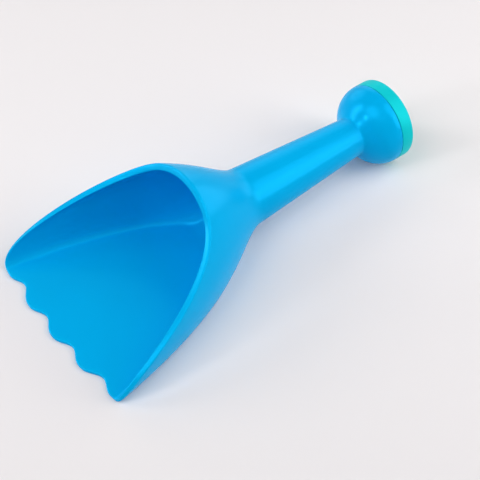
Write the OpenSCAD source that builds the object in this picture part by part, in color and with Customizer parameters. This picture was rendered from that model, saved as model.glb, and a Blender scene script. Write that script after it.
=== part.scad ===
// Sand shovel with a hollow handle that rains through a perforated cap.
// Water picked up in the scoop runs through the throat and the handle into the bell, and out of the cap.
// +X runs along the handle towards the cap, +Z is up, and the shovel is symmetric about Y = 0.
// The origin lies on the ground under the middle of the length. The flat floor and the cap rest on Z = 0.

/* [Scoop] */
// Length from the tips of the front lobes back to the neck
scoop_l = 138; // [120:1:160]
// Width that the side walls flare towards at the front line
flare_w = 134; // [110:1:150]
// Height of the hood at the top of the mouth
mouth_h = 71; // [60:1:85]
// Length of the hood, from the neck to the top of the mouth
hood_l = 44.5; // [38:0.5:56]
// How far the very top of the mouth is drawn back
apex_back = 1.7; // [0:0.1:4]
// Radius of the hollow sweep where the neck turns into the flare
neck_sweep = 11; // [6:0.5:16]
// Length that sets how fast the side walls flare
side_flare = 77; // [50:1:120]
// Length that sets how fast the hood rises
roof_flare = 42; // [30:1:80]
// Length of the ramp from the round neck down to the flat floor
floor_ramp = 31; // [24:1:45]
// Width of the curve between the floor and a side wall
corner_w = 9.5; // [6:0.5:16]
// Length over which that curve tightens from the round neck
corner_ramp = 53; // [36:1:80]

/* [Wall and lip] */
// Thickness of the moulded wall
wall = 2.6; // [1.8:0.1:3.2]
// Thickness of the lip at the top of the mouth
lip_t = 4.2; // [3:0.1:5]
// Depth over which the wall thickens into the lip
lip_depth = 9; // [5:0.5:16]
// Height up the mouth over which the thin front edge grows into the full lip
lip_rise = 60; // [30:1:75]
// Depth of the lip's rounding
lip_r = 1.4; // [0.6:0.1:2]

/* [Front edge] */
// Number of lobes along the front edge
lobes = 5; // [3:1:6]
// Distance from one lobe to the next
lobe_pitch = 27.4; // [20:0.2:29]
// Depth of the notches between the lobes
notch_d = 4.8; // [2:0.1:8]
// How far the front edge bows back at the flare's full width
front_bow = 6; // [0:0.5:14]
// Height up the side walls over which the lobes and notches fade out
front_rise = 18; // [10:1:30]

/* [Handle] */
// Diameter of the handle at the neck
neck_d = 36.6; // [32:0.2:42]
// Diameter of the handle where it enters the bell
grip_d = 25.2; // [20:0.2:28]
// Length of the handle from the neck to the back of the bell
grip_l = 82; // [60:0.5:110]

/* [Bell] */
// Diameter of the bell at its open end, and of the cap
bell_d = 52.6; // [48:0.2:60]
// Length of the bell's dome
bell_l = 20.8; // [16:0.2:28]
// Reach of the soft inside corner between the handle and the bell
bell_blend = 5; // [1:0.5:8]
// Depth of the seat that the cap plugs into
seat_l = 6.5; // [4:0.5:9]
// Wall left round the seat at its deepest point
seat_wall = 2.1; // [1.4:0.1:3]

/* [Rain cap] */
// Length of the cap outside the bell
cap_l = 9.2; // [6:0.2:14]
// Thickness of the perforated face
face_t = 2.4; // [1.6:0.1:3.2]
// Thickness of the skirt that plugs into the bell
skirt_t = 1.8; // [1.2:0.1:2.6]
// Width of the relief groove between the skirt and the outer ring
groove_w = 1.4; // [0.8:0.1:1.8]
// Rounding of the face's outer edge
cap_edge_r = 1.2; // [0.4:0.1:2]
// Chamfer that leads the skirt into its seat
lead_in = 0.6; // [0.2:0.1:1]
// Diameter of one rain hole
hole_d = 2.2; // [1.4:0.1:3]
// Distance between the rings of rain holes
hole_pitch = 5.2; // [4.4:0.1:7]

/* [Fits] */
// Visible seam between the bell and the cap's ring
seam_gap = 0.35; // [0.2:0.05:0.6]
// Radial clearance of the skirt in its seat
fit_gap = 0.05; // [0.02:0.01:0.1]
// Clearance between the end of the skirt and the bottom of its seat
end_gap = 0.3; // [0.2:0.05:0.6]

/* [Hidden] */

total_l = scoop_l + grip_l + bell_l + cap_l;
neck_x = scoop_l - total_l / 2;
seam_x = neck_x + grip_l + bell_l;
neck_r = neck_d / 2;
grip_r = grip_d / 2;
bell_r = bell_d / 2;
axis_z = bell_r;
seat_r = bell_r * sqrt(1 - pow(seat_l / bell_l, 2)) - seat_wall;
skirt_r = seat_r - fit_gap;
skirt_in_r = skirt_r - skirt_t;
hole_rings = floor((skirt_in_r - hole_d) / hole_pitch);
overrun = wall;

// How the mouth's side profile leans: 0 is an even S-curve from the front edge to the hood
mouth_lean_share = 0.26;
// Height at which the top of the mouth starts to be drawn back, as a share of the mouth's height
apex_share = 0.9;
// Share of the lip's thickness that is rounded; 1 leaves no flat in the middle
lip_round_share = 0.85;
// Over 1 the lobes are broad and the notches narrow
notch_power_share = 1.3;
// Over 1 the rings crowd towards the neck, where the surface turns most
crowd_share = 1.25;

// Steps across half the floor, round the floor's corner, over half the hood, along the skin and round the lip
floor_steps = 27;
corner_steps = 8;
roof_steps = 12;
skin_steps = 19;
lip_steps = 3;
corner_end = floor_steps + corner_steps;
half_lines = corner_end + roof_steps;
halvings = 30;
dome_step = 4;
dome_start = 12;
$fn = 96;

function clamp01(t) = max(0, min(1, t));
function ease(t) = let (c = clamp01(t)) c * c * (3 - 2 * c);

// The flare starts level with the neck, sweeps outwards and then eases off; it is 1 at the given reach
function sweep(d) = sqrt(d * d + neck_sweep * neck_sweep) - neck_sweep;
function flare(d, reach, span) = (1 - exp(-sweep(d) / span)) / (1 - exp(-sweep(reach) / span));

// Sizes of the scoop's cross-section at a distance d in front of the neck
function half_w(d) = neck_r + (flare_w / 2 - neck_r) * flare(d, scoop_l, side_flare);
function roof_z(d) = axis_z + neck_r + (mouth_h - axis_z - neck_r) * flare(d, hood_l, roof_flare);
function floor_z(d) = (axis_z - neck_r) * (1 - ease(d / floor_ramp));
function corner(d) = neck_r + (corner_w - neck_r) * ease(d / corner_ramp);

// Line j runs from the neck to the edge: j = 0 is the middle of the floor, half_lines the top of the hood.
// Round angles share out the neck's circle; open angles keep the floor flat and turn only at its corner.
function round_angle(j) = j <= corner_end ? 90 * j / corner_end - 90 : 90 * (j - corner_end) / roof_steps;
function open_angle(j) = j <= floor_steps ? -90
    : j <= corner_end ? 90 * (j - floor_steps) / corner_steps - 90
    : round_angle(j);

// A point of the skin at distance d on line j, set in by a thickness
function skin(d, j, inset) =
    let (a = round_angle(j) + (open_angle(j) - round_angle(j)) * ease(d / floor_ramp),
         w = half_w(d),
         c = corner(d),
         spread = clamp01(j / floor_steps),
         x = neck_x - d)
    j <= corner_end
        ? [x, (w - c) * spread + (c - inset) * cos(a), axis_z + (axis_z - floor_z(d) - inset) * sin(a)]
        : [x, (w - inset) * cos(a), axis_z + (roof_z(d) - axis_z - inset) * sin(a)];

// How fast the skin moves outwards along line j, and a point at a depth under the skin, measured square to it
function slope(d, j) = ease(d / neck_sweep)
    * ((skin(d + wall, j, 0) - skin(d, j, 0)) * (skin(d, j, 0) - skin(d, j, wall))) / (wall * wall);
function under(d, j, depth) =
    let (g = slope(d, j), lean = sqrt(1 + g * g))
    skin(d + depth * g / lean, j, depth * lean);

// The edge of the mouth as a surface: an S-curve in the side view, with notches along the front
lobe_reach = lobe_pitch * (lobes - 1) / 2;
function notch(y) = abs(y) < lobe_reach
    ? notch_d * pow((1 - cos(360 * (y + lobe_reach) / lobe_pitch)) / 2, notch_power_share)
    : 0;
function mouth_back(z) =
    let (q = clamp01(z / mouth_h))
    (scoop_l - hood_l) * ease(q + mouth_lean_share * q * q * (1 - q))
        + apex_back * pow(max(0, q - apex_share) / (1 - apex_share), 2);
function edge_x(y, z) = neck_x - scoop_l + mouth_back(z)
    + front_bow * pow(2 * y / flare_w, 2) + notch(y) * (1 - ease(z / front_rise));

// Distance along line j at which the skin meets the edge, found by halving
function edge_d(j, near = 0, far = scoop_l + wall, n = halvings) =
    let (mid = (near + far) / 2, p = skin(mid, j, 0))
    n == 0 ? mid
        : p.x > edge_x(p.y, p.z) ? edge_d(j, mid, far, n - 1)
        : edge_d(j, near, mid, n - 1);
edges = [for (j = [0 : half_lines]) edge_d(j)];
lip_shares = [for (j = [0 : half_lines]) ease(skin(edges[j], j, 0).z / lip_rise)];
function thickness(d, j) = wall + (lip_t - wall) * lip_shares[j] * ease(1 - (edges[j] - d) / lip_depth);

// Half rings of the shell, from the neck along the outside, round the lip and back along the inside
function skin_d(i, j) = (edges[j] - lip_r) * pow(i / skin_steps, crowd_share);
function lip_d(i, j) = edges[j] - lip_r * (1 - sin(90 * i / lip_steps));
function lip_in(i, j) = lip_round_share * thickness(edges[j], j) / 2 * (1 - cos(90 * i / lip_steps));
half_rings = concat(
    [for (i = [0 : skin_steps]) [for (j = [0 : half_lines]) skin(skin_d(i, j), j, 0)]],
    [for (i = [1 : lip_steps]) [for (j = [0 : half_lines]) under(lip_d(i, j), j, lip_in(i, j))]],
    [for (i = [lip_steps : -1 : 1])
        [for (j = [0 : half_lines]) under(lip_d(i, j), j, thickness(edges[j], j) - lip_in(i, j))]],
    [for (i = [skin_steps : -1 : 0])
        [for (j = [0 : half_lines]) under(skin_d(i, j), j, thickness(skin_d(i, j), j))]]);

// The whole ring: one half and its mirror image, without the shared lines
function whole_ring(half) =
    concat(half, [for (j = [half_lines - 1 : -1 : 1]) [half[j].x, -half[j].y, half[j].z]]);

module scoop_shell() {
    rings = len(half_rings);
    lines = 2 * half_lines;
    points = [for (half = half_rings) each whole_ring(half)];
    function at(i, k) = (i % rings) * lines + k % lines;
    faces = [for (i = [0 : rings - 1]) for (k = [0 : lines - 1]) each k < half_lines
        ? [[at(i, k), at(i, k + 1), at(i + 1, k + 1)], [at(i, k), at(i + 1, k + 1), at(i + 1, k)]]
        : [[at(i, k), at(i, k + 1), at(i + 1, k)], [at(i, k + 1), at(i + 1, k + 1), at(i + 1, k)]]];
    polyhedron(points, faces);
}

// Radius of the tapered handle at a distance s behind the seam, and of the dome, less a thickness
function taper_r(s, inset) = grip_r + (neck_r - grip_r) * (s - bell_l) / grip_l - inset;
function soft_max(a, b) = max(a, b) + pow(max(0, bell_blend - abs(a - b)), 2) / (4 * bell_blend);
function dome(angle, inset) =
    let (s = (bell_l - inset) * cos(angle))
    [soft_max(taper_r(s, inset), (bell_r - inset) * sin(angle)), -s];
seat_angle = acos(seat_l / (bell_l - wall));

// Turns a profile of [radius, place along the handle] about the handle's axis
module turned() {
    translate([seam_x, 0, axis_z]) rotate([0, 90, 0]) rotate_extrude() children();
}

module handle_profile() {
    front = -bell_l - grip_l;
    polygon(concat(
        [[neck_r, front], [grip_r, -bell_l]],
        [for (a = [dome_start : dome_step : 90 - dome_step]) dome(a, 0)],
        [[bell_r, 0], [seat_r, 0], [seat_r, -seat_l]],
        [for (a = [seat_angle : -dome_step : dome_start]) dome(a, wall)],
        [[grip_r - wall, -bell_l], [neck_r - wall, front]]));
}

module cap_profile() {
    inner_face = cap_l - face_t;
    skirt_end = end_gap - seat_l;
    ring_in_r = skirt_r + groove_w;
    polygon(concat(
        [[0, inner_face], [0, cap_l]],
        [for (a = [90 : -15 : 0]) [bell_r, cap_l] + cap_edge_r * [cos(a) - 1, sin(a) - 1]],
        [[bell_r, seam_gap], [ring_in_r, seam_gap], [ring_in_r, inner_face], [skirt_r, inner_face]],
        [[skirt_r, skirt_end + lead_in], [skirt_r - lead_in, skirt_end], [skirt_in_r, skirt_end]],
        [[skirt_in_r, inner_face]]));
}

module rain_holes() {
    for (ring = [0 : hole_rings], i = [0 : max(1, 6 * ring) - 1])
        translate([seam_x + cap_l - face_t - overrun, 0, axis_z])
            rotate([360 * i / max(1, 6 * ring), 0, 0])
                translate([0, 0, ring * hole_pitch])
                    rotate([0, 90, 0]) cylinder(d = hole_d, h = face_t + 2 * overrun, $fn = 24);
}

module scoop() {
    color("#089fe0") scoop_shell();
}

module handle() {
    color("#0aa9e8") turned() handle_profile();
}

module rain_cap() {
    color("#17c8d2") difference() {
        turned() cap_profile();
        rain_holes();
    }
}

scoop();
handle();
rain_cap();
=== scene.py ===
# %% [markdown]
# # Dressing a sand shovel
# The shovel is a blue moulding with a wide scoop, a hollow handle and a bell, closed by a teal rain
# cap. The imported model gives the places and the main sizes. This lesson builds the smooth skins
# that show, gives them moulded-plastic finishes, and sets the floor, the light and the camera.

# %% Load the frame
import math

import bmesh
import bpy
from mathutils import Matrix, Vector


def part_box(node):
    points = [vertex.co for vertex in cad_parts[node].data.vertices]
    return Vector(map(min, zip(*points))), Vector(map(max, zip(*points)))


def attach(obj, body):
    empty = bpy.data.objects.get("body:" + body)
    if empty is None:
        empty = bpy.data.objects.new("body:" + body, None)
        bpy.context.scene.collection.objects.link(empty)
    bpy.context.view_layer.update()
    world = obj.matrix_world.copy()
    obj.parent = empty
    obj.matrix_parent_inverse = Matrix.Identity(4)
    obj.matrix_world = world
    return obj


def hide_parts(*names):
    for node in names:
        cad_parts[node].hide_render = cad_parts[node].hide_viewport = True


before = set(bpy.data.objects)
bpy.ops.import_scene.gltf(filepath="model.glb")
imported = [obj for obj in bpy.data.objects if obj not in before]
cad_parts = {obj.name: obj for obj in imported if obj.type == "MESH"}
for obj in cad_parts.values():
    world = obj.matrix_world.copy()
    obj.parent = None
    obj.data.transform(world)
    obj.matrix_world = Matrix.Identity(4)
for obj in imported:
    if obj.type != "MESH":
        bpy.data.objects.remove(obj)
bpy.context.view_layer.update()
MM = 0.001

# %% [markdown]
# ## Sizes
# What the frame can tell is read from it: where the front edge, the neck and the seam lie, and how
# big the bell is. The few sizes that a box can't tell, such as how fast the walls flare, are named
# here once, in metres.

# %% Places from the frame
scoop_low, scoop_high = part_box("scoop")
handle_low, handle_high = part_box("handle")
cap_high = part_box("rain_cap")[1]
FRONT_X = scoop_low.x
NECK_X = scoop_high.x
SEAM_X = handle_high.x
CAP_END_X = cap_high.x
BELL_R = (handle_high.y - handle_low.y) / 2
AXIS_Z = (handle_high.z + handle_low.z) / 2
SCOOP_L = NECK_X - FRONT_X
print("front, neck, seam, cap end, mm:", [round(x / MM, 1) for x in (FRONT_X, NECK_X, SEAM_X, CAP_END_X)])

# %% Sizes of the moulding
FLARE_W = 133.7 * MM
MOUTH_H = 70.8 * MM
HOOD_L = 44.5 * MM
APEX_BACK = 1.7 * MM
NECK_SWEEP = 11 * MM
SIDE_FLARE = 77 * MM
ROOF_FLARE = 42 * MM
FLOOR_RAMP = 31 * MM
CORNER_W = 9.5 * MM
CORNER_RAMP = 53 * MM
WALL = 2.6 * MM
LIP_T = 4.2 * MM
LIP_DEPTH = 9 * MM
LIP_RISE = 60 * MM
LIP_R = 1.0 * MM
LOBES = 5
LOBE_PITCH = 27.4 * MM
NOTCH_D = 4.8 * MM
FRONT_BOW = 6 * MM
FRONT_RISE = 18 * MM
NECK_R = 18.3 * MM
GRIP_R = 12.6 * MM
BELL_L = 20.8 * MM
BELL_BLEND = 5 * MM
SEAT_L = 6.5 * MM
SEAT_WALL = 2.1 * MM
MOUTH_LEAN_SHARE = 0.26
APEX_SHARE = 0.9
LIP_ROUND_SHARE = 0.5
NOTCH_POWER_SHARE = 1.3
FLOOR_LINE_SHARE = 27 / 35
GRIP_L = SEAM_X - NECK_X - BELL_L
SEAT_R = BELL_R * math.sqrt(1 - (SEAT_L / BELL_L) ** 2) - SEAT_WALL
print("grip length and seat radius, mm:", [round(x / MM, 1) for x in (GRIP_L, SEAT_R)])

# %% [markdown]
# ## The camera
# The camera stands where the photo was taken: above the front right of the scoop, looking down. A
# long lens far away keeps the far bell nearly as large as the near scoop. The matrix is built from
# three directions, which is easier to read than angles: right, up and back.

# %% Camera
VIEW_AZIMUTH = math.radians(-37.88)
VIEW_ELEVATION = math.radians(48.47)
VIEW_DISTANCE = 0.6852
FOCAL_SHARE = 1133.3 / 480
VIEW_TARGET = Vector((0.0033, -0.007, -0.0002))


def view_axes(azimuth, elevation):
    back = Vector((math.sin(azimuth) * math.cos(elevation), -math.cos(azimuth) * math.cos(elevation),
                   math.sin(elevation)))
    right = Vector((math.cos(azimuth), math.sin(azimuth), 0))
    return right, back.cross(right), back


def make_camera():
    data = bpy.data.cameras.new("photo_camera")
    data.sensor_fit = "HORIZONTAL"
    data.lens = data.sensor_width * FOCAL_SHARE
    data.clip_start = 0.01
    camera = bpy.data.objects.new("photo_camera", data)
    right, up, back = view_axes(VIEW_AZIMUTH, VIEW_ELEVATION)
    turn = Matrix((right, up, back)).transposed().to_4x4()
    camera.matrix_world = Matrix.Translation(VIEW_TARGET + back * VIEW_DISTANCE) @ turn
    bpy.context.scene.collection.objects.link(camera)
    bpy.context.scene.camera = camera
    return camera


camera = make_camera()
print("camera at, mm:", [round(x / MM) for x in camera.location], "lens:", round(camera.data.lens, 1))

# %% [markdown]
# ## The form of the scoop
# The scoop is a loft: a round neck opens into a flat floor, two flared sides and an arched hood.
# Rather than drawing dozens of sections by hand, each length has a law of its own, measured by the
# distance from the neck: how wide, how high, how round. A line number says where on the section a
# point lies: 0 is the middle of the floor, 1 the widest place of the side, 2 the top of the hood.

# %% Laws of the loft
def ease(t):
    c = min(1.0, max(0.0, t))
    return c * c * (3 - 2 * c)


def sweep(d):
    return math.hypot(d, NECK_SWEEP) - NECK_SWEEP


def flare(d, reach, span):
    return (1 - math.exp(-sweep(d) / span)) / (1 - math.exp(-sweep(reach) / span))


def half_width(d):
    return NECK_R + (FLARE_W / 2 - NECK_R) * flare(d, SCOOP_L, SIDE_FLARE)


def roof_height(d):
    return NECK_R + (MOUTH_H - AXIS_Z - NECK_R) * flare(d, HOOD_L, ROOF_FLARE)


def floor_depth(d):
    return NECK_R + (AXIS_Z - NECK_R) * ease(d / FLOOR_RAMP)


def corner_width(d):
    return NECK_R + (CORNER_W - NECK_R) * ease(d / CORNER_RAMP)


def skin_point(d, line, inset):
    turned_by = 90 * line - 90
    if line <= 1:
        flat_until = FLOOR_LINE_SHARE
        opened = -90 + 90 * max(0.0, line - flat_until) / (1 - flat_until)
        turned_by += (opened - turned_by) * ease(d / FLOOR_RAMP)
        corner = corner_width(d)
        angle = math.radians(turned_by)
        y = (half_width(d) - corner) * min(1.0, line / flat_until) + (corner - inset) * math.cos(angle)
        z = AXIS_Z + (floor_depth(d) - inset) * math.sin(angle)
    else:
        angle = math.radians(turned_by)
        y = (half_width(d) - inset) * math.cos(angle)
        z = AXIS_Z + (roof_height(d) - inset) * math.sin(angle)
    return Vector((NECK_X - d, y, z))


def slope(d, line):
    here = skin_point(d, line, 0)
    step = skin_point(d + WALL, line, 0) - here
    outwards = here - skin_point(d, line, WALL)
    return ease(d / NECK_SWEEP) * step.yz.dot(outwards.yz) / WALL ** 2


def under_point(d, line, depth):
    lean = slope(d, line)
    length = math.hypot(1, lean)
    return skin_point(d + depth * lean / length, line, depth * length)


hood_size = (half_width(HOOD_L), roof_height(HOOD_L))
print("half width and roof at the hood, mm:", [round(x / MM, 1) for x in hood_size])

# %% [markdown]
# ## The edge of the mouth
# Seen from the side the mouth is an S-curve, and its front runs in lobes and notches that cut
# through sand. A saw could do this on a finished shell, but then the lip would have no even
# rounding. Here the edge is a law too, and each line of the loft is cut to length where it meets
# that law, found by halving.

# %% Laws of the edge
HALVINGS = 34


def notch(y):
    reach = LOBE_PITCH * (LOBES - 1) / 2
    if abs(y) >= reach:
        return 0.0
    wave = (1 - math.cos(2 * math.pi * (y + reach) / LOBE_PITCH)) / 2
    return NOTCH_D * wave ** NOTCH_POWER_SHARE


def edge_x(y, z):
    q = min(1.0, max(0.0, z / MOUTH_H))
    back = (SCOOP_L - HOOD_L) * ease(q + MOUTH_LEAN_SHARE * q * q * (1 - q))
    apex = APEX_BACK * (max(0.0, q - APEX_SHARE) / (1 - APEX_SHARE)) ** 2
    bow = FRONT_BOW * (2 * y / FLARE_W) ** 2
    return FRONT_X + back + apex + bow + notch(y) * (1 - ease(z / FRONT_RISE))


def edge_distance(line):
    near, far = 0.0, SCOOP_L + WALL
    for _ in range(HALVINGS):
        middle = (near + far) / 2
        p = skin_point(middle, line, 0)
        if p.x > edge_x(p.y, p.z):
            near = middle
        else:
            far = middle
    return near


FLOOR_LINES, CORNER_LINES, ROOF_LINES = 48, 16, 28
side_lines = [FLOOR_LINE_SHARE * i / FLOOR_LINES for i in range(FLOOR_LINES)]
side_lines += [FLOOR_LINE_SHARE + (1 - FLOOR_LINE_SHARE) * i / CORNER_LINES for i in range(CORNER_LINES)]
side_lines += [1 + i / ROOF_LINES for i in range(ROOF_LINES + 1)]
edges = [edge_distance(line) for line in side_lines]
rim_heights = [skin_point(d, line, 0).z for d, line in zip(edges, side_lines)]
lip_shares = [ease(z / LIP_RISE) for z in rim_heights]
print("lines on a side:", len(side_lines), "longest line, mm:", round(max(edges) / MM, 1))

# %% [markdown]
# ## Lofting with extrude
# The body is one continuous skin, so it is grown like a turned pot: a circle is extruded ring after
# ring, and each new ring is moved to its place. It goes along the outside, round the lip and back
# along the inside, until the last ring lies on the first, where the doubles are merged. The wall
# then has its true thickness everywhere, and no seam shows at the neck.

# %% Ring helpers
MERGE_GAP = 0.002 * MM


def ring_edges(ring):
    pairs = zip(ring, ring[1:] + ring[:1])
    return [edge for a, b in pairs for edge in a.link_edges if edge.other_vert(a) is b]


def first_ring(bm, points):
    ring = list(bmesh.ops.create_circle(bm, segments=len(points), radius=1)["verts"])
    for vertex, point in zip(ring, points):
        vertex.co = point
    return ring


def next_ring(bm, ring, points):
    made = bmesh.ops.extrude_edge_only(bm, edges=ring_edges(ring))["geom"]
    new = {v for v in made if isinstance(v, bmesh.types.BMVert)}
    grown = [next(e.other_vert(v) for e in v.link_edges if e.other_vert(v) in new) for v in ring]
    for vertex, point in zip(grown, points):
        vertex.co = point
    return grown


def quarter_turn(steps):
    return [math.pi / 2 * i / steps for i in range(steps + 1)]


def mirrored(half):
    other = [Vector((p.x, -p.y, p.z)) for p in half[-2:0:-1]]
    return half + other


def finish_mesh(bm, name, sharp_degrees):
    bmesh.ops.remove_doubles(bm, verts=bm.verts, dist=MERGE_GAP)
    bmesh.ops.recalc_face_normals(bm, faces=bm.faces)
    mesh = bpy.data.meshes.new(name)
    bm.to_mesh(mesh)
    bm.free()
    mesh.shade_smooth()
    mesh.set_sharp_from_angle(angle=math.radians(sharp_degrees))
    piece = bpy.data.objects.new(name, mesh)
    bpy.context.scene.collection.objects.link(piece)
    return piece


# %% Rings of the scoop
SKIN_STEPS, LIP_STEPS = 56, 5
CROWD_SHARE = 1.25


def lip_thickness(k, d):
    return WALL + (LIP_T - WALL) * lip_shares[k] * ease(1 - (edges[k] - d) / LIP_DEPTH)


def scoop_ring(distance_of, depth_of):
    return mirrored([under_point(distance_of(k), line, depth_of(k)) for k, line in enumerate(side_lines)])


def skin_distance(i, k):
    return (edges[k] - LIP_R) * (i / SKIN_STEPS) ** CROWD_SHARE


def lip_distance(angle, k):
    return edges[k] - LIP_R * (1 - math.sin(angle))


def scoop_outside():
    for i in range(1, SKIN_STEPS + 1):
        yield scoop_ring(lambda k: skin_distance(i, k), lambda k: 0.0)


def lip_inset(angle, k):
    return LIP_ROUND_SHARE * lip_thickness(k, edges[k]) / 2 * (1 - math.cos(angle))


def scoop_lip():
    quarter = quarter_turn(LIP_STEPS)[1:]
    for a in quarter:
        yield scoop_ring(lambda k: lip_distance(a, k), lambda k: lip_inset(a, k))
    for a in reversed(quarter):
        yield scoop_ring(lambda k: lip_distance(a, k),
                         lambda k: lip_thickness(k, edges[k]) - lip_inset(a, k))


def scoop_inside():
    for i in range(SKIN_STEPS, -1, -1):
        yield scoop_ring(lambda k: skin_distance(i, k), lambda k: lip_thickness(k, skin_distance(i, k)))


print("rings on the scoop:", 2 * (SKIN_STEPS + LIP_STEPS) + 1)

# %% [markdown]
# ## The handle and the bell
# Behind the neck everything is round, so a ring needs only a radius and a place. The handle tapers,
# because the core that hollows it has to be drawn out, and a soft maximum of the taper and an
# ellipse turns it into the bell with a soft inside corner. The bell ends in a seat for the cap.

# %% Rings of the handle
HANDLE_STEPS, DOME_STEPS, RIM_STEPS = 14, 30, 3
DOME_START = math.radians(5)
RIM_R = 0.3 * MM


def taper_radius(s, inset):
    return GRIP_R + (NECK_R - GRIP_R) * (s - BELL_L) / GRIP_L - inset


def soft_max(a, b):
    return max(a, b) + max(0.0, BELL_BLEND - abs(a - b)) ** 2 / (4 * BELL_BLEND)


def dome(angle, inset):
    s = (BELL_L - inset) * math.cos(angle)
    return soft_max(taper_radius(s, inset), (BELL_R - inset) * math.sin(angle)), s


def round_ring(radius, s):
    half = []
    for line in side_lines:
        angle = math.radians(90 * line - 90)
        half.append(Vector((SEAM_X - s, radius * math.cos(angle), AXIS_Z + radius * math.sin(angle))))
    return mirrored(half)


def handle_outside():
    stop = math.asin(1 - RIM_R / BELL_R)
    for i in range(DOME_STEPS):
        yield round_ring(*dome(stop + (DOME_START - stop) * i / (DOME_STEPS - 1), 0.0))
    back = BELL_L + BELL_BLEND
    front = BELL_L + GRIP_L
    for i in range(HANDLE_STEPS + 1):
        s = back + (front - back) * i / HANDLE_STEPS
        yield round_ring(taper_radius(s, 0.0), s)


def handle_inside():
    back = BELL_L + BELL_BLEND
    front = BELL_L + GRIP_L
    for i in range(1, HANDLE_STEPS + 1):
        s = front + (back - front) * i / HANDLE_STEPS
        yield round_ring(taper_radius(s, WALL), s)
    stop = math.acos(SEAT_L / (BELL_L - WALL))
    for i in range(DOME_STEPS):
        yield round_ring(*dome(DOME_START + (stop - DOME_START) * i / (DOME_STEPS - 1), WALL))


def bell_rim():
    rounding = quarter_turn(RIM_STEPS)
    yield round_ring(SEAT_R, SEAT_L)
    for a in rounding:
        yield round_ring(SEAT_R + RIM_R * (1 - math.cos(a)), RIM_R * (1 - math.sin(a)))
    for a in rounding[::-1]:
        yield round_ring(BELL_R - RIM_R * (1 - math.cos(a)), RIM_R * (1 - math.sin(a)))


print("neck, grip and bell radius, mm:", [round(x / MM, 1) for x in (NECK_R, GRIP_R, BELL_R)])


# %% Grow the body
def make_body():
    bm = bmesh.new()
    rings = [*handle_outside(), *scoop_outside(), *scoop_lip(), *scoop_inside()]
    rings += [*handle_inside(), *bell_rim()]
    ring = first_ring(bm, rings[0])
    for points in rings[1:] + rings[:1]:
        ring = next_ring(bm, ring, points)
    return finish_mesh(bm, "moulded_body", sharp_degrees=50)


body = make_body()
print("body faces:", len(body.data.polygons))

# %% [markdown]
# ## The rain cap
# The cap is turned, so its profile is spun about the handle's axis. The perforated face is left out
# of the profile: there each rain hole is a short tube with rounded rims, and a triangle fill closes
# the flat faces between the tubes, in front and behind. A boolean would cut the same holes, but
# with ragged rims.

# %% Sizes of the cap
FACE_T = 2.4 * MM
SKIRT_T = 1.8 * MM
GROOVE_W = 1.4 * MM
CAP_EDGE_R = 1.2 * MM
LEAD_IN = 0.6 * MM
HOLE_R = 1.1 * MM
HOLE_PITCH = 5.2 * MM
HOLE_RIM_R = 0.3 * MM
SEAM_GAP = 0.35 * MM
FIT_GAP = 0.05 * MM
END_GAP = 0.3 * MM
CAP_SPIN_STEPS, CAP_EDGE_STEPS, HOLE_SIDES = 144, 8, 20
SKIRT_R = SEAT_R - FIT_GAP
SKIRT_IN_R = SKIRT_R - SKIRT_T
CAP_L = CAP_END_X - SEAM_X
print("cap length and skirt radius, mm:", [round(x / MM, 1) for x in (CAP_L, SKIRT_R)])


# %% Spin the ring and the skirt
def arc(centre, radius, start, stop, steps):
    turns = [math.radians(start + (stop - start) * i / steps) for i in range(steps + 1)]
    return [(centre[0] + radius * math.cos(a), centre[1] + radius * math.sin(a)) for a in turns]


def cap_profile():
    inner_face = CAP_L - FACE_T
    skirt_end = END_GAP - SEAT_L
    groove_r = SKIRT_R + GROOVE_W
    return [
        (SKIRT_IN_R, CAP_L),
        *arc((BELL_R - CAP_EDGE_R, CAP_L - CAP_EDGE_R), CAP_EDGE_R, 90, 0, CAP_EDGE_STEPS),
        *arc((BELL_R - RIM_R, SEAM_GAP + RIM_R), RIM_R, 0, -90, RIM_STEPS),
        (groove_r, SEAM_GAP), (groove_r, inner_face), (SKIRT_R, inner_face),
        (SKIRT_R, skirt_end + LEAD_IN), (SKIRT_R - LEAD_IN, skirt_end), (SKIRT_IN_R, skirt_end),
        (SKIRT_IN_R, inner_face),
    ]


def spin_cap(bm):
    axis_point = Vector((0, 0, AXIS_Z))
    profile = [bm.verts.new((SEAM_X + x, 0, AXIS_Z + r)) for r, x in cap_profile()]
    strip = [bm.edges.new(pair) for pair in zip(profile, profile[1:])]
    bmesh.ops.spin(bm, geom=profile + strip, cent=axis_point, axis=(1, 0, 0), angle=2 * math.pi,
                   steps=CAP_SPIN_STEPS, use_merge=True)
    return SEAM_X + CAP_L, SEAM_X + CAP_L - FACE_T


print("points on the cap's profile:", len(cap_profile()))


# %% Sink the holes and fill the face
def hole_places():
    rings = int((SKIRT_IN_R - 2 * HOLE_R) / HOLE_PITCH)
    for ring in range(rings + 1):
        count = max(1, 6 * ring)
        for i in range(count):
            angle = 2 * math.pi * i / count
            yield ring * HOLE_PITCH * math.sin(angle), ring * HOLE_PITCH * math.cos(angle)


def hole_rings(y, z, front, back):
    def circle(radius, x):
        turns = [2 * math.pi * i / HOLE_SIDES for i in range(HOLE_SIDES)]
        return [Vector((x, y + radius * math.cos(a), AXIS_Z + z + radius * math.sin(a))) for a in turns]

    outer = HOLE_R + HOLE_RIM_R
    rounding = quarter_turn(RIM_STEPS)
    yield circle(outer + HOLE_RIM_R, front)
    for a in rounding:
        yield circle(outer - HOLE_RIM_R * math.sin(a), front - HOLE_RIM_R * (1 - math.cos(a)))
    for a in rounding[::-1]:
        yield circle(outer - HOLE_RIM_R * math.sin(a), back + HOLE_RIM_R * (1 - math.cos(a)))
    yield circle(outer + HOLE_RIM_R, back)


def open_edges_at(bm, x):
    return [e for e in bm.edges if e.is_boundary and all(abs(v.co.x - x) < MERGE_GAP for v in e.verts)]


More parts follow.
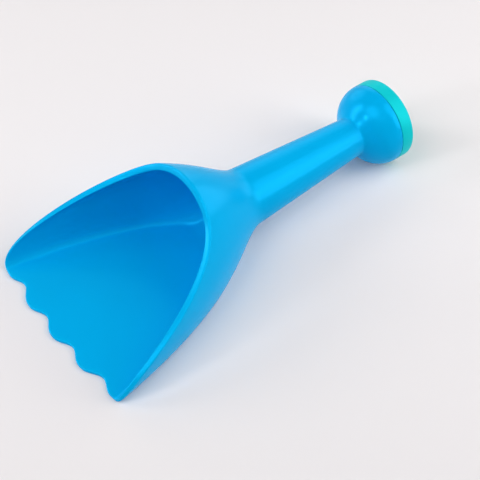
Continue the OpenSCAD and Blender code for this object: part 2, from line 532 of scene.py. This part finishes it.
def make_cap():
    bm = bmesh.new()
    front, back = spin_cap(bm)
    for y, z in hole_places():
        rings = list(hole_rings(y, z, front, back))
        ring = first_ring(bm, rings[0])
        for points in rings[1:]:
            ring = next_ring(bm, ring, points)
    for x in (front, back):
        bmesh.ops.triangle_fill(bm, use_beauty=True, edges=open_edges_at(bm, x))
    return finish_mesh(bm, "rain_cap_ring", sharp_degrees=40)


cap = make_cap()
print("cap faces:", len(cap.data.polygons), "holes:", len(list(hole_places())))

# %% [markdown]
# ## Moulded plastic
# Both pieces are polypropylene: a strong even colour with a satin gloss. A flat colour would look
# like a drawing, so the colour drifts a little where the melt flowed, the gloss varies in soft
# patches and fine rubbed lines, and a faint orange peel breaks the reflections. A small metallic
# share gives reflections in the pigment's own colour, so the gloss doesn't grey the blue. All
# patterns read Object coordinates, so they stay with the piece.

# %% Plastic finish
def node(tree, kind, **values):
    made = tree.nodes.new(kind)
    for name, value in values.items():
        made.inputs[name].default_value = value
    return made


def srgb(red, green, blue):
    def linear(c):
        c = c / 255
        return c / 12.92 if c <= 0.04045 else ((c + 0.055) / 1.055) ** 2.4

    return linear(red), linear(green), linear(blue), 1


FLOW_SCALE, RUBBED_SCALE, PEEL_SCALE = 26, 420, 700
RUBBED_STRETCH = (0.12, 1, 1)
PEEL_HEIGHT = 0.05 * MM
PEEL_STRENGTH = 0.06
PIGMENT_GLOSS = 0.09
CLEAR_GLOSS = 0.04
GLOSS_TINT = (0.35, 1, 1, 1)
SMOOTHER, DULLER = 0.04, 0.05


def moulded_plastic(name, colour, deep_colour, roughness):
    material = bpy.data.materials.new(name)
    material.use_nodes = True
    tree = material.node_tree
    shader = tree.nodes["Principled BSDF"]
    shader.inputs["Metallic"].default_value = PIGMENT_GLOSS
    shader.inputs["Specular IOR Level"].default_value = CLEAR_GLOSS
    shader.inputs["Specular Tint"].default_value = GLOSS_TINT
    place = tree.nodes.new("ShaderNodeTexCoord").outputs["Object"]

    flow = node(tree, "ShaderNodeTexNoise", Scale=FLOW_SCALE, Detail=3)
    tree.links.new(place, flow.inputs["Vector"])
    drift = tree.nodes.new("ShaderNodeMix")
    drift.data_type = "RGBA"
    drift.inputs["A"].default_value = deep_colour
    drift.inputs["B"].default_value = colour
    tree.links.new(flow.outputs["Fac"], drift.inputs["Factor"])
    tree.links.new(drift.outputs["Result"], shader.inputs["Base Color"])

    rubbed = node(tree, "ShaderNodeTexNoise", Scale=RUBBED_SCALE, Detail=4)
    stretch = tree.nodes.new("ShaderNodeMapping")
    stretch.inputs["Scale"].default_value = RUBBED_STRETCH
    tree.links.new(place, stretch.inputs["Vector"])
    tree.links.new(stretch.outputs["Vector"], rubbed.inputs["Vector"])
    gloss = tree.nodes.new("ShaderNodeMapRange")
    gloss.inputs["To Min"].default_value = roughness - SMOOTHER
    gloss.inputs["To Max"].default_value = roughness + DULLER
    tree.links.new(rubbed.outputs["Fac"], gloss.inputs["Value"])
    tree.links.new(gloss.outputs["Result"], shader.inputs["Roughness"])

    peel = node(tree, "ShaderNodeTexNoise", Scale=PEEL_SCALE, Detail=2)
    bump = node(tree, "ShaderNodeBump", Strength=PEEL_STRENGTH, Distance=PEEL_HEIGHT)
    tree.links.new(place, peel.inputs["Vector"])
    tree.links.new(peel.outputs["Fac"], bump.inputs["Height"])
    tree.links.new(bump.outputs["Normal"], shader.inputs["Normal"])
    return material


blue = moulded_plastic("blue_plastic", srgb(0, 177, 236), srgb(0, 171, 231), roughness=0.22)
teal = moulded_plastic("teal_plastic", srgb(20, 206, 212), srgb(12, 196, 206), roughness=0.34)
body.data.materials.append(blue)
cap.data.materials.append(teal)
print("materials:", [m.name for m in (blue, teal)])

# %% [markdown]
# ## Floor and light
# The shovel lies on a pale seamless floor, as in a catalogue. Near the shovel the floor takes the
# light and the shadow, and towards the front its colour is painted a little greyer, as painted
# shade where less light falls. Farther out it fades into the pale of the room, so no horizon shows
# from any side. A ring of broad soft boxes does most of the lighting: the strongest stand in front
# and at the right, so the inside of the hood falls into shade and the shadows stay soft. Broad light
# alone would leave the plastic looking chalky. A tall strip draws the bright line along the lip, and
# two small lamps set the sparks on the bell and the handle.

# %% Floor
PALE = srgb(240, 236, 237)
# Painted shade: SHADED is the greyer floor colour painted towards the front.
SHADED = srgb(228, 224, 225)
FLOOR_HALF = 4
FADE_WAY = (0.61, 0.79, 0)
FADE_FROM, FADE_TO = -0.25, 0
FAR_FROM, FAR_TO = 0.34, 0.6


def seen_ray(tree):
    path = tree.nodes.new("ShaderNodeLightPath")
    seen = path.outputs["Is Camera Ray"]
    for kind in ("Is Glossy Ray", "Is Transmission Ray"):
        either = tree.nodes.new("ShaderNodeMath")
        either.operation = "MAXIMUM"
        tree.links.new(seen, either.inputs[0])
        tree.links.new(path.outputs[kind], either.inputs[1])
        seen = either.outputs["Value"]
    return seen


def pale_far_floor(tree, shader):
    place = tree.nodes.new("ShaderNodeTexCoord").outputs["Object"]
    distance = tree.nodes.new("ShaderNodeVectorMath")
    distance.operation = "LENGTH"
    tree.links.new(place, distance.inputs[0])
    far = node(tree, "ShaderNodeMapRange", **{"From Min": FAR_FROM, "From Max": FAR_TO})
    tree.links.new(distance.outputs["Value"], far.inputs["Value"])
    share = tree.nodes.new("ShaderNodeMath")
    share.operation = "MULTIPLY"
    tree.links.new(far.outputs["Result"], share.inputs[0])
    tree.links.new(seen_ray(tree), share.inputs[1])
    glow = node(tree, "ShaderNodeEmission", Color=PALE, Strength=1)
    blend = tree.nodes.new("ShaderNodeMixShader")
    tree.links.new(share.outputs["Value"], blend.inputs["Fac"])
    tree.links.new(shader.outputs["BSDF"], blend.inputs[1])
    tree.links.new(glow.outputs["Emission"], blend.inputs[2])
    tree.links.new(blend.outputs["Shader"], tree.nodes["Material Output"].inputs["Surface"])


# Painted shade: the floor's colour turns from PALE to SHADED towards the front, standing in for less
# light falling there.
def paint_floor_shade(tree, shader):
    place = tree.nodes.new("ShaderNodeTexCoord").outputs["Object"]
    along = tree.nodes.new("ShaderNodeVectorMath")
    along.operation = "DOT_PRODUCT"
    along.inputs[1].default_value = FADE_WAY
    tree.links.new(place, along.inputs[0])
    fade = node(tree, "ShaderNodeMapRange", **{"From Min": FADE_FROM, "From Max": FADE_TO})
    tree.links.new(along.outputs["Value"], fade.inputs["Value"])
    painted_shade = tree.nodes.new("ShaderNodeMix")
    painted_shade.data_type = "RGBA"
    painted_shade.inputs["A"].default_value = SHADED
    painted_shade.inputs["B"].default_value = PALE
    tree.links.new(fade.outputs["Result"], painted_shade.inputs["Factor"])
    tree.links.new(painted_shade.outputs["Result"], shader.inputs["Base Color"])


def make_floor():
    bm = bmesh.new()
    bmesh.ops.create_grid(bm, x_segments=1, y_segments=1, size=FLOOR_HALF)
    mesh = bpy.data.meshes.new("floor")
    bm.to_mesh(mesh)
    bm.free()
    floor = bpy.data.objects.new("floor", mesh)
    bpy.context.scene.collection.objects.link(floor)
    material = bpy.data.materials.new("pale_floor")
    material.use_nodes = True
    shader = material.node_tree.nodes["Principled BSDF"]
    shader.inputs["Roughness"].default_value = 0.9
    shader.inputs["Specular IOR Level"].default_value = 0.1
    paint_floor_shade(material.node_tree, shader)
    pale_far_floor(material.node_tree, shader)
    mesh.materials.append(material)
    return floor


floor = make_floor()
print("floor, m across:", [round(x, 2) for x in floor.dimensions.xy])


# %% Lamps and world
RING_R, BROAD, SMALL = 1.5, 1.0, 0.28
HIGH, LOW = 55, 22
ROOM_FILL = 0.01


def ring_lamp(name, azimuth, elevation, size, power):
    a, e = math.radians(azimuth), math.radians(elevation)
    way = Vector((math.cos(a) * math.cos(e), math.sin(a) * math.cos(e), math.sin(e)))
    data = bpy.data.lights.new(name, "AREA")
    data.shape = "DISK"
    data.size = size
    data.energy = power
    lamp = bpy.data.objects.new(name, data)
    lamp.location = way * RING_R
    lamp.rotation_euler = (-lamp.location).to_track_quat("-Z", "Y").to_euler()
    bpy.context.scene.collection.objects.link(lamp)
    return lamp


def strip_lamp(name, azimuth, elevation, width, height, power):
    lamp = ring_lamp(name, azimuth, elevation, width, power)
    lamp.data.shape = "RECTANGLE"
    lamp.data.size_y = height
    return lamp


ring_lamp("overhead", 0, 90, BROAD, 1.0)
ring_lamp("front_high", 180, HIGH, BROAD, 7.2)
ring_lamp("front_right_high", 225, HIGH, BROAD, 2.0)
ring_lamp("right_high", 315, HIGH, BROAD, 6.4)
ring_lamp("cap_end_low", 0, LOW, BROAD, 4.4)
ring_lamp("back_low", 45, LOW, BROAD, 2.3)
ring_lamp("left_low", 90, LOW, BROAD, 3.4)
ring_lamp("right_low", 315, LOW, BROAD, 8.0)
strip_lamp("left_front_strip", 136, 20, width=0.4, height=1.1, power=7.5)
ring_lamp("front_spark", 172, 28, SMALL, 3.2)
ring_lamp("right_spark", 300, 33, SMALL, 0.9)


def pale_room():
    world = bpy.data.worlds.new("pale_room")
    world.use_nodes = True
    tree = world.node_tree
    backdrop = tree.nodes["Background"]
    backdrop.inputs["Color"].default_value = PALE
    strength = node(tree, "ShaderNodeMapRange", **{"To Min": ROOM_FILL, "To Max": 1})
    tree.links.new(seen_ray(tree), strength.inputs["Value"])
    tree.links.new(strength.outputs["Result"], backdrop.inputs["Strength"])
    return world


bpy.context.scene.world = pale_room()
bpy.context.scene.view_settings.view_transform = "Standard"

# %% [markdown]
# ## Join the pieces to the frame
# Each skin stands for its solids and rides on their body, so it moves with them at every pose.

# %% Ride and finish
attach(body, "shovel")
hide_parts("scoop", "handle")
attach(cap, "rain_cap")
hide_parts("rain_cap")
